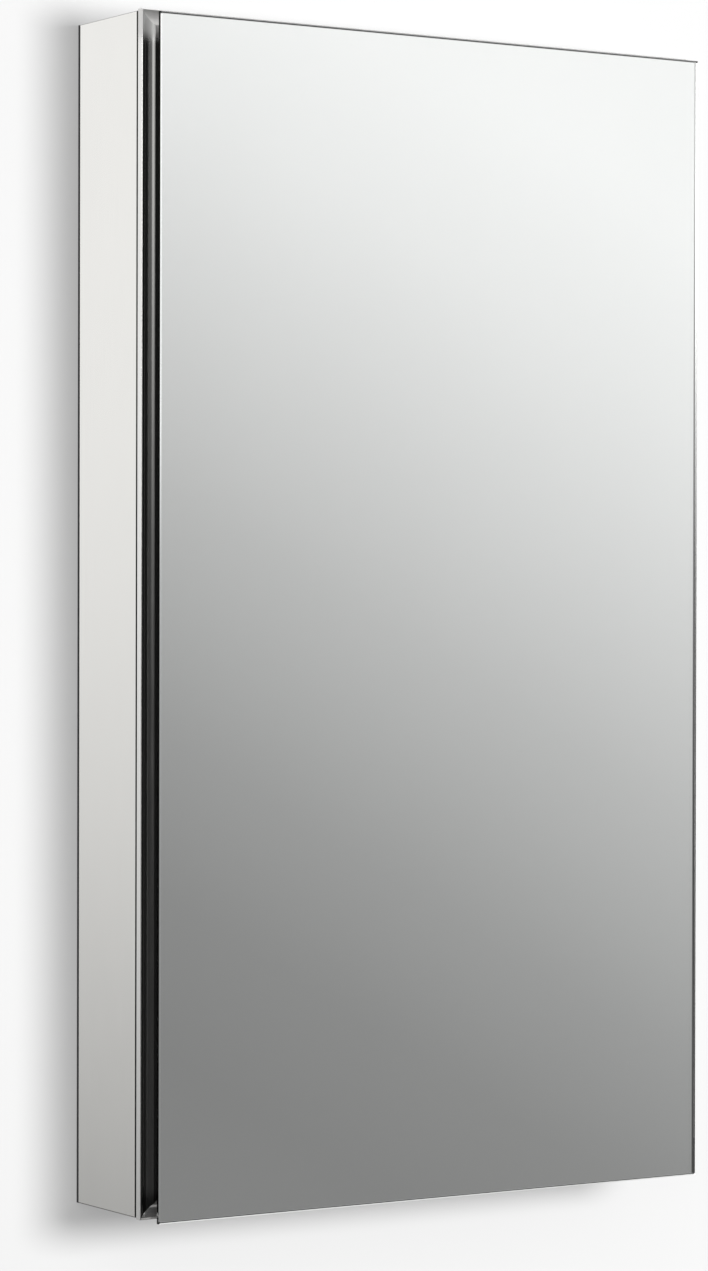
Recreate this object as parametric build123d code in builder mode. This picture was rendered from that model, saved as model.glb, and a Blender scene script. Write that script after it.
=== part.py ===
"""A wall-hung medicine cabinet with one frameless mirror door, in millimetres.

+Z is up, the wall is the plane y = 0 and the door faces -Y. The origin is the centre of the four wall-screw
holes, in the back face of the cabinet. Depths are measured from the wall, so a depth d lies at y = -d. The
door hangs on a full-length continuous hinge on its right edge, and a concave channel down the left of the
front frame is the finger pull.
"""

from build123d import *

import os

os.makedirs("parts", exist_ok=True)

# ---- Overall size
body_width = 514.0
body_height = 914.0
frame_depth = 101.0  # wall to the front of the front frame
skin_depth = 92.0  # wall to the front edge of the walls and the side skins
door_width = 507.0  # nominally 508, less the grinding of both edges
door_height = 914.0
door_right_overhang = 3.25  # mirror edge past the right face of the front frame
door_drop = 2.5  # the mirror hangs this much lower than the front frame

# ---- Sheet and glass thicknesses
wall_sheet = 1.5
back_sheet = 1.2
mirror_glass = 4.0
panel_glass = 3.0
shelf_glass = 5.0
tape = 1.0
edge_grind = 0.5  # the ground edges of the inside mirrors
front_arris = 0.8
rear_arris = 0.4

# ---- Front frame section, as distances in from its outer face
lip = 0.8
lip_radius = 0.7
channel_width = 10.9
channel_sag = 2.6
frame_width = 19.0
frame_lip_depth = 6.0
frame_web = 2.0
return_height = 3.4  # how far the inner edge of the frame turns back behind its web
return_sheet = 3.0
groove_inset = 1.7
skin_inset = 0.5
skin_short = 0.8  # the skins stop this far below the top and above the bottom of the frame
skin_edge_radius = 0.8
skin_wall_gap = 2.6  # shadow gap between the skins and the wall
wall_inset = 2.5
tongue_inset = 4.1
tongue_sheet = 1.5
tongue_back = 80.0  # depth where the frame's tongue ends, inside the walls

# ---- Door frame section and the gap that the hinge knuckles fill
door_gap = 7.0
door_frame_half_width = 235.0
door_frame_half_height = 434.5
door_frame_width = 18.0
door_frame_back = 96.0
door_frame_sheet = 1.6
panel_slot = 5.0  # how far the slot for the inside mirror runs into the door frame
panel_fit = 0.1
panel_side_gap = 0.5
chamber_rear = 2.0  # door frame back to the slot of the inside mirror

# ---- Hinge
hinge_half_length = 430.0
knuckle_radius = 3.2
knuckle_count = 43
knuckle_gap = 0.4
pin_radius = 1.6
pin_fit = 0.01
pin_running = 0.06
leaf_sheet = 1.0
hinge_screw_pitch = 100.0
hinge_screws_each_side = 4
hinge_axis_inset = 2.25  # hinge axis in from the mirror's right edge
notch_gap = 0.6
hinge_end_gap = 0.2
pin_head_radius = 2.4
pin_head = 1.2
leaf_leg_back = 90.0

# ---- Shelves and their standards
standard_width = 16.0
standard_height = 3.0
standard_sheet = 1.2
standard_half_length = 381.0
standard_depths = {"rear": 26.0, "front": 70.0}
standard_end_to_screw = 9.0
slot_pitch = 25.4
slots_each_side = 14
slot_height = 4.2
slot_width = 8.4
shelf_levels = (-8, 0, 8)  # slot numbers, counted from the middle slot
shelf_back = 8.0
shelf_front = 86.0
clip_reach = 12.0
clip_tip = 2.0
clip_tongue_gap = 0.4  # tongue end to the wall
clip_drop = 10.0
clip_half = 5.0
tongue_half_width = 4.0
tongue_half_height = 1.9
shelf_end_gap = 0.5
shelf_edge_radius = 1.8
shelf_corner_radius = 2.0

# ---- Screws and rivets
small_screw_radius = 1.5
pan_head_radii = (2.9, 1.9)  # at its seat and at its top
pan_head = 1.4
thin_head_radii = (2.9, 2.2)
thin_head = 0.8
countersink_radius = 2.8
screw_tip_gap = 0.02  # shanks that end on a sheet stop this far short of it
rivet_head = 0.9
frame_rivet_radius = 1.6
frame_rivet_depth = 86.0
flange_rivet_radius = 1.5

# ---- Wall screws, door catches, corner keys
wall_hole_x = 203.2  # half of 406.4 mm, the distance between wall studs
wall_hole_z = 420.0
wall_hole_radius = 3.5
catch_height = 405.0
catch_half = 9.0
key_leg = 36.0
key_sheet = 1.5
key_fit = 0.2
key_depth_margin = 1.0

# ---- Worked out from those
half_width = body_width / 2
half_height = body_height / 2
wall_outer_x = half_width - wall_inset
wall_outer_z = half_height - wall_inset
wall_inner_x = wall_outer_x - wall_sheet
wall_inner_z = wall_outer_z - wall_sheet
mirror_back = frame_depth + door_gap
mirror_front = mirror_back + mirror_glass
door_frame_front = mirror_back - tape
door_right = half_width + door_right_overhang
door_centre_x = door_right - door_width / 2
hinge_x = door_right - hinge_axis_inset
hinge_depth = frame_depth + door_gap / 2
standard_face_x = wall_inner_x - standard_height
flange = 12.0


def save(part, label):
    """Names a finished piece and writes it as parts/LABEL.step."""
    part.label = label
    export_step(part, f"parts/{label}.step")


def block(x, d, z):
    """Adds a box between x[0]..x[1], depths d[0]..d[1] and z[0]..z[1] to the part being built."""
    with Locations(((x[0] + x[1]) / 2, -(d[0] + d[1]) / 2, (z[0] + z[1]) / 2)):
        Box(abs(x[1] - x[0]), abs(d[1] - d[0]), abs(z[1] - z[0]))


def cut_block(x, d, z):
    """Cuts a box between the same kind of limits as block()."""
    with Locations(((x[0] + x[1]) / 2, -(d[0] + d[1]) / 2, (z[0] + z[1]) / 2)):
        Box(abs(x[1] - x[0]), abs(d[1] - d[0]), abs(z[1] - z[0]), mode=Mode.SUBTRACT)


def rod(start, end, radius, end_radius=None, mode=Mode.ADD):
    """Adds or cuts a round bar, or a cone where end_radius is given, between two points."""
    axis = Vector(*end) - Vector(*start)
    from_start = (Align.CENTER, Align.CENTER, Align.MIN)
    with Locations(Plane(origin=start, z_dir=axis)):
        if end_radius is None:
            Cylinder(radius, axis.length, align=from_start, mode=mode)
        else:
            Cone(radius, end_radius, axis.length, align=from_start, mode=mode)


def member_planes(half_w, half_h):
    """The four sides of a frame: name, section plane and half length.

    On each plane local x runs inwards and local y is the depth.
    """
    return (
        ("left", Plane((-half_w, 0, 0), x_dir=(1, 0, 0), z_dir=(0, 0, -1)), half_h),
        ("right", Plane((half_w, 0, 0), x_dir=(-1, 0, 0), z_dir=(0, 0, 1)), half_h),
        ("top", Plane((0, 0, half_h), x_dir=(0, 0, -1), z_dir=(-1, 0, 0)), half_w),
        ("bottom", Plane((0, 0, -half_h), x_dir=(0, 0, 1), z_dir=(1, 0, 0)), half_w),
    )


def mitre(plane, half_length):
    """Cuts both ends of the frame member being built at 45 degrees."""
    for way in (1, -1):
        end = plane.origin + plane.z_dir * (way * half_length)
        split(bisect_by=Plane(end, z_dir=plane.x_dir + plane.z_dir * way), keep=Keep.BOTTOM)


def spaced(count, pitch):
    """count places, a pitch apart, centred on 0."""
    return [(i - (count - 1) / 2) * pitch for i in range(count)]


# ---- Places that two pieces share
frame_rivet_places = {"stile": spaced(5, 170.0), "rail": spaced(3, 150.0)}
flange_rivet_places = {"side": spaced(6, 160.0), "end": spaced(3, 150.0)}
flange_line_x = wall_inner_x - flange / 2
flange_line_z = wall_inner_z - flange / 2
back_mirror_half_x = 240.0
back_mirror_half_z = 398.0
mirror_clip_x = 150.0
clip_to_screw = 6.0
clip_screw_z = back_mirror_half_z + clip_to_screw


def frame_rivet_bars(mode, radius):
    """The four rows of rivet shanks or holes through the walls and the front frame's tongue."""
    outer, inner = wall_inset, tongue_inset + tongue_sheet
    for side in (1, -1):
        for z in frame_rivet_places["stile"]:
            y = -frame_rivet_depth
            rod((side * (half_width - outer), y, z), (side * (half_width - inner), y, z), radius, mode=mode)
        for x in frame_rivet_places["rail"]:
            y = -frame_rivet_depth
            rod((x, y, side * (half_height - outer)), (x, y, side * (half_height - inner)), radius, mode=mode)


def flange_rivet_points():
    """Where the back panel is riveted to the flanges of the walls, as (x, z)."""
    sides = [(way * flange_line_x, z) for way in (1, -1) for z in flange_rivet_places["side"]]
    ends = [(x, way * flange_line_z) for way in (1, -1) for x in flange_rivet_places["end"]]
    return sides + ends


def mirror_clip_points():
    """Where the clips of the back mirror are screwed to the back panel, as (x, z)."""
    return [(x, z) for x in (-mirror_clip_x, mirror_clip_x) for z in (-clip_screw_z, clip_screw_z)]


# ---- Box: two side walls, top and bottom, each a folded sheet with a flange behind, and the back panel
flange_front = back_sheet + wall_sheet

for side, name in ((-1, "left"), (1, "right")):
    with BuildPart() as side_wall:
        block((side * wall_inner_x, side * wall_outer_x), (0, skin_depth), (-wall_outer_z, wall_outer_z))
        block(
            (side * (wall_inner_x - flange), side * wall_inner_x),
            (back_sheet, flange_front),
            (-wall_inner_z, wall_inner_z),
        )
        frame_rivet_bars(Mode.SUBTRACT, frame_rivet_radius)
        for x, z in flange_rivet_points():
            rod((x, 0, z), (x, -flange_front, z), flange_rivet_radius, mode=Mode.SUBTRACT)
    save(side_wall.part, f"side_wall_{name}")

for side, name in ((-1, "bottom"), (1, "top")):
    with BuildPart() as end_wall:
        block((-wall_inner_x, wall_inner_x), (0, skin_depth), (side * wall_inner_z, side * wall_outer_z))
        block(
            (-wall_inner_x + flange, wall_inner_x - flange),
            (back_sheet, flange_front),
            (side * (wall_inner_z - flange), side * wall_inner_z),
        )
        frame_rivet_bars(Mode.SUBTRACT, frame_rivet_radius)
        for x, z in flange_rivet_points():
            rod((x, 0, z), (x, -flange_front, z), flange_rivet_radius, mode=Mode.SUBTRACT)
    save(end_wall.part, f"{name}_wall")

with BuildPart() as back_panel:
    block((-wall_inner_x, wall_inner_x), (0, back_sheet), (-wall_inner_z, wall_inner_z))
    for x, z in flange_rivet_points():
        rod((x, 0, z), (x, -back_sheet, z), flange_rivet_radius, mode=Mode.SUBTRACT)
    for x, z in mirror_clip_points():
        rod((x, 0, z), (x, -back_sheet, z), small_screw_radius, mode=Mode.SUBTRACT)
    for x in (-wall_hole_x, wall_hole_x):
        for z in (-wall_hole_z, wall_hole_z):
            rod((x, 0, z), (x, -back_sheet, z), wall_hole_radius, mode=Mode.SUBTRACT)
save(back_panel.part, "back_panel")

with BuildPart() as back_rivets:
    for x, z in flange_rivet_points():
        rod((x, 0, z), (x, -flange_front, z), flange_rivet_radius)
        rod((x, -flange_front, z), (x, -flange_front - rivet_head, z),
            2 * flange_rivet_radius, flange_rivet_radius)
save(back_rivets.part, "back_rivets")

# ---- Side skins: the satin sheets that cover the box's sides when it hangs on the face of a wall
skin_half_height = half_height - skin_short
for side, name in ((-1, "left"), (1, "right")):
    with BuildPart() as skin:
        outer_x = half_width - skin_inset
        block(
            (side * wall_outer_x, side * outer_x),
            (skin_wall_gap, skin_depth),
            (-skin_half_height, skin_half_height),
        )
        outer_face = skin.faces().sort_by(Axis.X)[-1 if side > 0 else 0]
        fillet(outer_face.edges(), skin_edge_radius)
    save(skin.part, f"side_skin_{name}")

# ---- Front frame: one extruded section, mitred at the corners
def frame_section(plane):
    """The front frame's section, drawn on a plane."""
    channel_end = lip + channel_width
    groove_back, lip_back = skin_depth, frame_depth - frame_lip_depth
    web_back = frame_depth - channel_sag - frame_web
    inner_back = web_back - return_height
    return_side = frame_width - return_sheet
    tongue_end = tongue_inset + tongue_sheet
    with BuildSketch(plane) as section:
        with BuildLine():
            Polyline((channel_end, frame_depth), (frame_width, frame_depth), (frame_width, inner_back),
                     (return_side, inner_back), (return_side, web_back), (tongue_end, web_back),
                     (tongue_end, tongue_back), (tongue_inset, tongue_back), (tongue_inset, groove_back),
                     (groove_inset, groove_back), (groove_inset, lip_back), (0, lip_back),
                     (0, frame_depth), (lip, frame_depth))
            ThreePointArc((lip, frame_depth), (lip + channel_width / 2, frame_depth - channel_sag),
                          (channel_end, frame_depth))
        make_face()
        outer_corner = section.vertices().group_by(Axis.Y)[-1].sort_by(Axis.X)[0]
        fillet(outer_corner, lip_radius)
    return section.sketch


hinge_screw_places = spaced(2 * hinge_screws_each_side + 1, hinge_screw_pitch)
hinge_screw_depth = 97.5
stile_inner_x = half_width - frame_width
hinge_screw_length = 4.0

for name, plane, half_length in member_planes(half_width, half_height):
    with BuildPart() as member:
        extrude(frame_section(plane), amount=half_length, both=True)
        mitre(plane, half_length)
        frame_rivet_bars(Mode.SUBTRACT, frame_rivet_radius)
        if name == "right":
            for z in hinge_screw_places:
                y = -hinge_screw_depth
                rod((stile_inner_x, y, z), (stile_inner_x + hinge_screw_length, y, z),
                    small_screw_radius, mode=Mode.SUBTRACT)
    kind = "stile" if name in ("left", "right") else "rail"
    save(member.part, f"front_{kind}_{name}")

with BuildPart() as frame_rivets:
    frame_rivet_bars(Mode.ADD, frame_rivet_radius)
    head_base = tongue_inset + tongue_sheet
    for side in (1, -1):
        for z in frame_rivet_places["stile"]:
            x = side * (half_width - head_base)
            rod((x, -frame_rivet_depth, z), (x - side * rivet_head, -frame_rivet_depth, z),
                2 * frame_rivet_radius, frame_rivet_radius)
        for x in frame_rivet_places["rail"]:
            z = side * (half_height - head_base)
            rod((x, -frame_rivet_depth, z), (x, -frame_rivet_depth, z - side * rivet_head),
                2 * frame_rivet_radius, frame_rivet_radius)
save(frame_rivets.part, "frame_rivets")

key_inset = tongue_inset + tongue_sheet + key_fit
key_depth = (tongue_back + key_depth_margin, skin_depth - key_depth_margin)
with BuildPart() as frame_keys:
    for side_x in (1, -1):
        for side_z in (1, -1):
            corner_x, corner_z = half_width - key_inset, half_height - key_inset
            block((side_x * (corner_x - key_sheet), side_x * corner_x), key_depth,
                  (side_z * (corner_z - key_leg), side_z * corner_z))
            block((side_x * (corner_x - key_leg), side_x * corner_x), key_depth,
                  (side_z * (corner_z - key_sheet), side_z * corner_z))
save(frame_keys.part, "frame_corner_keys")

# ---- Back mirror, its tape and its edge clips
back_mirror_back = back_sheet + tape
back_mirror_front = back_mirror_back + panel_glass
with BuildPart() as back_mirror:
    block((-back_mirror_half_x, back_mirror_half_x), (back_mirror_back, back_mirror_front),
          (-back_mirror_half_z, back_mirror_half_z))
    chamfer(back_mirror.faces().sort_by(Axis.Y)[0].edges(), edge_grind)
save(back_mirror.part, "back_mirror")

tape_strip = 20.0
tape_pitch = 90.0
tape_end_gap = 30.0
with BuildPart() as back_tape:
    for x in spaced(5, tape_pitch):
        block((x - tape_strip / 2, x + tape_strip / 2), (back_sheet, back_mirror_back),
              (-back_mirror_half_z + tape_end_gap, back_mirror_half_z - tape_end_gap))
save(back_tape.part, "back_mirror_tape")

clip_width = 14.0
clip_sheet = 1.0
clip_over = 4.0
clip_gap = 0.2
with BuildPart() as mirror_clips:
    for x, z in mirror_clip_points():
        way = 1 if z > 0 else -1
        edge = way * (back_mirror_half_z + clip_gap)
        sides = (x - clip_width / 2, x + clip_width / 2)
        block(sides, (back_sheet, back_sheet + clip_sheet), (edge, edge + way * clip_width))
        block(sides, (back_sheet, back_mirror_front + clip_sheet), (edge, edge + way * clip_sheet))
        block(sides, (back_mirror_front, back_mirror_front + clip_sheet), (edge - way * clip_over, edge))
        rod((x, -back_sheet, z), (x, -back_sheet - clip_sheet, z), small_screw_radius, mode=Mode.SUBTRACT)
save(mirror_clips.part, "back_mirror_clips")

with BuildPart() as clip_screws:
    for x, z in mirror_clip_points():
        top = back_sheet + clip_sheet
        rod((x, -screw_tip_gap, z), (x, -top, z), small_screw_radius)
        rod((x, -top, z), (x, -top - pan_head, z), *pan_head_radii)
save(clip_screws.part, "back_mirror_screws")

# ---- Shelf standards: slotted channels, one near the back and one near the front of each side wall
standard_screw_z = standard_half_length - standard_end_to_screw
for side, side_name in ((-1, "left"), (1, "right")):
    for depth_name, centre in standard_depths.items():
        with BuildPart() as standard:
            web_x = (side * standard_face_x, side * (standard_face_x + standard_sheet))
            wall_x = (side * standard_face_x, side * wall_inner_x)
            length = (-standard_half_length, standard_half_length)
            low, high = centre - standard_width / 2, centre + standard_width / 2
            block(web_x, (low, high), length)
            block(wall_x, (low, low + standard_sheet), length)
            block(wall_x, (high - standard_sheet, high), length)
            for slot in range(-slots_each_side, slots_each_side + 1):
                z = slot * slot_pitch
                cut_block(web_x, (centre - slot_width / 2, centre + slot_width / 2),
                          (z - slot_height / 2, z + slot_height / 2))
            for z in (-standard_screw_z, standard_screw_z):
                rod((web_x[0], -centre, z), (web_x[1], -centre, z), small_screw_radius, mode=Mode.SUBTRACT)
        save(standard.part, f"shelf_standard_{side_name}_{depth_name}")

with BuildPart() as standard_screws:
    for side in (-1, 1):
        for centre in standard_depths.values():
            for z in (-standard_screw_z, standard_screw_z):
                face, tip = side * standard_face_x, side * (wall_inner_x - screw_tip_gap)
                rod((face, -centre, z), (tip, -centre, z), small_screw_radius)
                rod((face, -centre, z), (face - side * pan_head, -centre, z), *pan_head_radii)
save(standard_screws.part, "standard_screws")

# ---- Three glass shelves, each on four clips
shelf_half_width = standard_face_x - shelf_end_gap
clip_tongue = standard_height - clip_tongue_gap
for number, level in enumerate(shelf_levels, start=1):
    slot_z = level * slot_pitch
    seat_z = slot_z + tongue_half_height
    with BuildPart() as shelf:
        block((-shelf_half_width, shelf_half_width), (shelf_back, shelf_front),
              (seat_z, seat_z + shelf_glass))
        fillet(shelf.faces().sort_by(Axis.Y)[0].edges().filter_by(Axis.X), shelf_edge_radius)
        fillet(shelf.edges().filter_by(Axis.Z), shelf_corner_radius)
    save(shelf.part, f"glass_shelf_{number}")

    with BuildPart() as clips:
        for side in (-1, 1):
            for centre in standard_depths.values():
                face = side * standard_face_x
                with BuildSketch(Plane.XZ.offset(centre - clip_half)):
                    with BuildLine():
                        Polyline((face, seat_z), (face - side * clip_reach, seat_z),
                                 (face - side * clip_reach, seat_z - clip_tip), (face, seat_z - clip_drop),
                                 (face, seat_z))
                    make_face()
                extrude(amount=2 * clip_half)
                block((face, face + side * clip_tongue),
                      (centre - tongue_half_width, centre + tongue_half_width),
                      (slot_z - tongue_half_height, slot_z + tongue_half_height))
    save(clips.part, f"shelf_clips_{number}")

# ---- Magnetic catches, on the left wall near the top and the bottom, and their strike plates on the door
catch_base = 3.0
catch_foot = (56.0, 79.0)  # depths of the catch's foot on the wall
catch_screw_depth = 62.0
catch_front = 93.9
magnet_front = 94.3
magnet_back = 85.0
magnet_x = (-235.0, -223.0)
magnet_half = 6.0
catch_wall = 2.0
catch_neck_back = 90.5
catch_knee = (66.0, 84.0)  # depths where the underside of the arm starts and ends
catch_wall_x = -wall_inner_x
catch_arm_x = catch_wall_x + 4.0
catch_foot_x = catch_wall_x + catch_base
catch_nose_x = (magnet_x[0] - catch_wall, magnet_x[1] + catch_wall)
for side, name in ((-1, "bottom"), (1, "top")):
    z = side * catch_height
    with BuildPart() as catch:
        with BuildSketch(Plane.XY.offset(z - catch_half)):
            with BuildLine():
                Polyline((catch_wall_x, -catch_foot[0]), (catch_wall_x, -catch_foot[1]),
                         (catch_arm_x, -catch_foot[1]), (catch_nose_x[0], -catch_neck_back),
                         (catch_nose_x[0], -catch_front), (catch_nose_x[1], -catch_front),
                         (catch_nose_x[1], -catch_knee[1]), (catch_foot_x, -catch_knee[0]),
                         (catch_foot_x, -catch_foot[0]), (catch_wall_x, -catch_foot[0]))
            make_face()
        extrude(amount=2 * catch_half)
        cut_block(magnet_x, (magnet_back, catch_front), (z - magnet_half, z + magnet_half))
        rod((catch_wall_x, -catch_screw_depth, z), (catch_foot_x, -catch_screw_depth, z),
            small_screw_radius, mode=Mode.SUBTRACT)
    save(catch.part, f"catch_housing_{name}")

with BuildPart() as magnets:
    for z in (-catch_height, catch_height):
        block(magnet_x, (magnet_back, magnet_front), (z - magnet_half, z + magnet_half))
save(magnets.part, "catch_magnets")

with BuildPart() as catch_screws:
    for z in (-catch_height, catch_height):
        y = -catch_screw_depth
        rod((catch_wall_x + screw_tip_gap, y, z), (catch_foot_x, y, z), small_screw_radius)
        rod((catch_foot_x, y, z), (catch_foot_x + pan_head, y, z), *pan_head_radii)
save(catch_screws.part, "catch_screws")

strike_sheet = 1.4
strike_half = 12.0
strike_screw = 8.0
strike_x = (-234.0, -222.0)
strike_centre_x = sum(strike_x) / 2
strike_screw_z = [side * catch_height + way * strike_screw for side in (-1, 1) for way in (-1, 1)]
strike_points = [(strike_centre_x, z) for z in strike_screw_z]
strike_face = door_frame_back - strike_sheet
with BuildPart() as strikes:
    for z in (-catch_height, catch_height):
        block(strike_x, (strike_face, door_frame_back), (z - strike_half, z + strike_half))
    for x, z in strike_points:
        rod((x, -strike_face, z), (x, -door_frame_back, z), countersink_radius, small_screw_radius,
            mode=Mode.SUBTRACT)
save(strikes.part, "strike_plates")

with BuildPart() as strike_screws:
    for x, z in strike_points:
        rod((x, -strike_face, z), (x, -door_frame_back, z), countersink_radius, small_screw_radius)
        rod((x, -door_frame_back, z), (x, -door_frame_back - door_frame_sheet, z), small_screw_radius)
save(strike_screws.part, "strike_screws")

# ---- Door: mirror, mitred frame with a slot for the inside mirror, tape and corner keys
with BuildPart() as door_mirror:
    block((door_right - door_width, door_right), (mirror_back, mirror_front),
          (-door_height / 2 - door_drop, door_height / 2 - door_drop))
    chamfer(door_mirror.faces().sort_by(Axis.Y)[0].edges(), front_arris)
    chamfer(door_mirror.faces().sort_by(Axis.Y)[-1].edges(), rear_arris)
save(door_mirror.part, "door_mirror")

panel_back = door_frame_back + chamber_rear
panel_front = panel_back + panel_glass + 2 * panel_fit
chamber = (door_frame_sheet, door_frame_width - panel_slot - door_frame_sheet)
chamber_depth = (door_frame_back + door_frame_sheet, door_frame_front - door_frame_sheet)
door_leaf_screw_inset = 4.0
door_leaf_screw_x = door_frame_half_width - door_leaf_screw_inset

for name, plane, half_length in member_planes(door_frame_half_width, door_frame_half_height):
    with BuildPart() as door_member:
        with BuildSketch(plane):
            with Locations((door_frame_width / 2, (door_frame_back + door_frame_front) / 2)):
                Rectangle(door_frame_width, door_frame_front - door_frame_back)
            with Locations((sum(chamber) / 2, sum(chamber_depth) / 2)):
                Rectangle(chamber[1] - chamber[0], chamber_depth[1] - chamber_depth[0], mode=Mode.SUBTRACT)
            with Locations((door_frame_width - panel_slot / 2, (panel_back + panel_front) / 2)):
                Rectangle(panel_slot, panel_front - panel_back, mode=Mode.SUBTRACT)
        extrude(amount=half_length, both=True)
        mitre(plane, half_length)
        if name == "left":
            for x, z in strike_points:
                rod((x, -door_frame_back, z), (x, -door_frame_back - door_frame_sheet, z),
                    small_screw_radius, mode=Mode.SUBTRACT)
        if name == "right":
            for z in hinge_screw_places:
                rod((door_leaf_screw_x, -door_frame_front, z),
                    (door_leaf_screw_x, -door_frame_front + door_frame_sheet, z),
                    small_screw_radius, mode=Mode.SUBTRACT)
    kind = "stile" if name in ("left", "right") else "rail"
    save(door_member.part, f"door_{kind}_{name}")

with BuildPart() as door_keys:
    depth = (chamber_depth[0] + key_fit, chamber_depth[1] - key_fit)
    near, far = chamber[0] + key_fit, chamber[1] - key_fit
    for side_x in (1, -1):
        for side_z in (1, -1):
            x_limits = [side_x * (door_frame_half_width - inset) for inset in (near, far, near + key_leg)]
            z_limits = [side_z * (door_frame_half_height - inset) for inset in (near, far, near + key_leg)]
            block((x_limits[0], x_limits[1]), depth, (z_limits[0], z_limits[2]))
            block((x_limits[0], x_limits[2]), depth, (z_limits[0], z_limits[1]))
save(door_keys.part, "door_corner_keys")

inside_inset = door_frame_width - panel_slot + panel_side_gap
inside_half_x = door_frame_half_width - inside_inset
inside_half_z = door_frame_half_height - inside_inset
with BuildPart() as inside_mirror:
    block((-inside_half_x, inside_half_x), (panel_back + panel_fit, panel_front - panel_fit),
          (-inside_half_z, inside_half_z))
save(inside_mirror.part, "door_inside_mirror")

# ---- Continuous hinge: two leaves with alternate knuckles on one pin
knuckle_pitch = 2 * hinge_half_length / knuckle_count
knuckle_edge = hinge_x - knuckle_radius - notch_gap  # the leaves are notched here for the other's knuckles
body_leaf_depth = (frame_depth, frame_depth + leaf_sheet)
door_leaf_depth = (door_frame_front, mirror_back)
filler_half = 0.8 * knuckle_radius  # half of the width where a barrel is filled out to meet its tab
filler_height = 2.0
filler_gap = 0.3  # clear of what the leaf lies on, once the leaf turns


def knuckle_spans(first):
    """The z limits of every second knuckle, starting at the first or the second."""
    bottoms = [-hinge_half_length + i * knuckle_pitch for i in range(first, knuckle_count, 2)]
    return [(z + knuckle_gap / 2, z + knuckle_pitch - knuckle_gap / 2) for z in bottoms]


def add_knuckles(first, leaf_depth, filler_depth, bore_radius):
    """Adds the tabs and barrels of one leaf to the part being built, then bores them for the pin."""
    for low, high in knuckle_spans(first):
        block((knuckle_edge, hinge_x), leaf_depth, (low, high))
        block((hinge_x - filler_half, hinge_x), filler_depth, (low, high))
        rod((hinge_x, -hinge_depth, low), (hinge_x, -hinge_depth, high), knuckle_radius)
    rod((hinge_x, -hinge_depth, -hinge_half_length), (hinge_x, -hinge_depth, hinge_half_length),
        bore_radius, mode=Mode.SUBTRACT)


with BuildPart() as body_leaf:
    span = (-hinge_half_length, hinge_half_length)
    leg_x = stile_inner_x - leaf_sheet
    block((leg_x, knuckle_edge), body_leaf_depth, span)
    block((leg_x, stile_inner_x), (leaf_leg_back, frame_depth), span)
    filler = (frame_depth + filler_gap, frame_depth + filler_height)
    add_knuckles(0, body_leaf_depth, filler, pin_radius + pin_fit)
    for z in hinge_screw_places:
        rod((leg_x, -hinge_screw_depth, z), (stile_inner_x, -hinge_screw_depth, z),
            small_screw_radius, mode=Mode.SUBTRACT)
save(body_leaf.part, "hinge_leaf_cabinet")

door_leaf_lap = 8.0
door_leaf_edge = door_frame_half_width - door_leaf_lap
with BuildPart() as door_leaf:
    span = (-hinge_half_length, hinge_half_length)
    block((door_leaf_edge, knuckle_edge), door_leaf_depth, span)
    filler = (mirror_back - filler_height, mirror_back - filler_gap)
    add_knuckles(1, door_leaf_depth, filler, pin_radius + pin_running)
    for z in hinge_screw_places:
        rod((door_leaf_screw_x, -mirror_back, z), (door_leaf_screw_x, -door_frame_front, z),
            countersink_radius, small_screw_radius, mode=Mode.SUBTRACT)
save(door_leaf.part, "hinge_leaf_door")

with BuildPart() as hinge_pin:
    end = hinge_half_length + hinge_end_gap
    rod((hinge_x, -hinge_depth, -end), (hinge_x, -hinge_depth, end), pin_radius)
    for way in (-1, 1):
        head_start, head_end = way * end, way * (end + pin_head)
        rod((hinge_x, -hinge_depth, head_start), (hinge_x, -hinge_depth, head_end), pin_head_radius)
save(hinge_pin.part, "hinge_pin")

with BuildPart() as cabinet_hinge_screws:
    for z in hinge_screw_places:
        y = -hinge_screw_depth
        rod((leg_x, y, z), (stile_inner_x + hinge_screw_length, y, z), small_screw_radius)
        rod((leg_x, y, z), (leg_x - thin_head, y, z), *thin_head_radii)
save(cabinet_hinge_screws.part, "hinge_screws_cabinet")

with BuildPart() as door_hinge_screws:
    for z in hinge_screw_places:
        x = door_leaf_screw_x
        rod((x, -mirror_back, z), (x, -door_frame_front, z), countersink_radius, small_screw_radius)
        rod((x, -door_frame_front, z), (x, -door_frame_front + door_frame_sheet, z), small_screw_radius)
save(door_hinge_screws.part, "hinge_screws_door")

# ---- Tape that bonds the mirror to the door frame, clear of the hinge leaf
bond_width = 9.0
bond_gap = 1.0  # between two strips, and beside the hinge leaf
bond_inset = (3.0, 1.5)  # in from the side and from the end of the door frame
with BuildPart() as bond_tape:
    depth = (door_frame_front, mirror_back)
    left_x, right_x = -door_frame_half_width + bond_inset[0], door_leaf_edge - bond_gap
    end_z = door_frame_half_height - bond_inset[1]
    inner_z = end_z - bond_width
    block((left_x, left_x + bond_width), depth, (-end_z, end_z))
    for way in (-1, 1):
        block((left_x + bond_width + bond_gap, right_x), depth, (way * inner_z, way * end_z))
    block((right_x - bond_width, right_x), depth, (-inner_z + bond_gap, inner_z - bond_gap))
save(bond_tape.part, "mirror_bond_tape")

print("door centre x", door_centre_x, "hinge axis", hinge_x, -hinge_depth, "mirror front", -mirror_front)
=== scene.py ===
# %% [markdown]
# # A medicine cabinet with a mirror door
#
# The cabinet's frame, sheets, hinge and shelves come from the imported CAD model and stay where they are.
# This lesson gives every one of them a finish, and models again the pieces whose edges catch the light:
# the mirrors and the screws. It adds a dark strip behind each side skin, a painted shade for the gap by
# the wall. Everything is in metres, with the wall at y = 0 and the door facing -Y.

# %% Load the frame
import math

import bmesh
import bpy
from mathutils import Matrix, Vector


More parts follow.
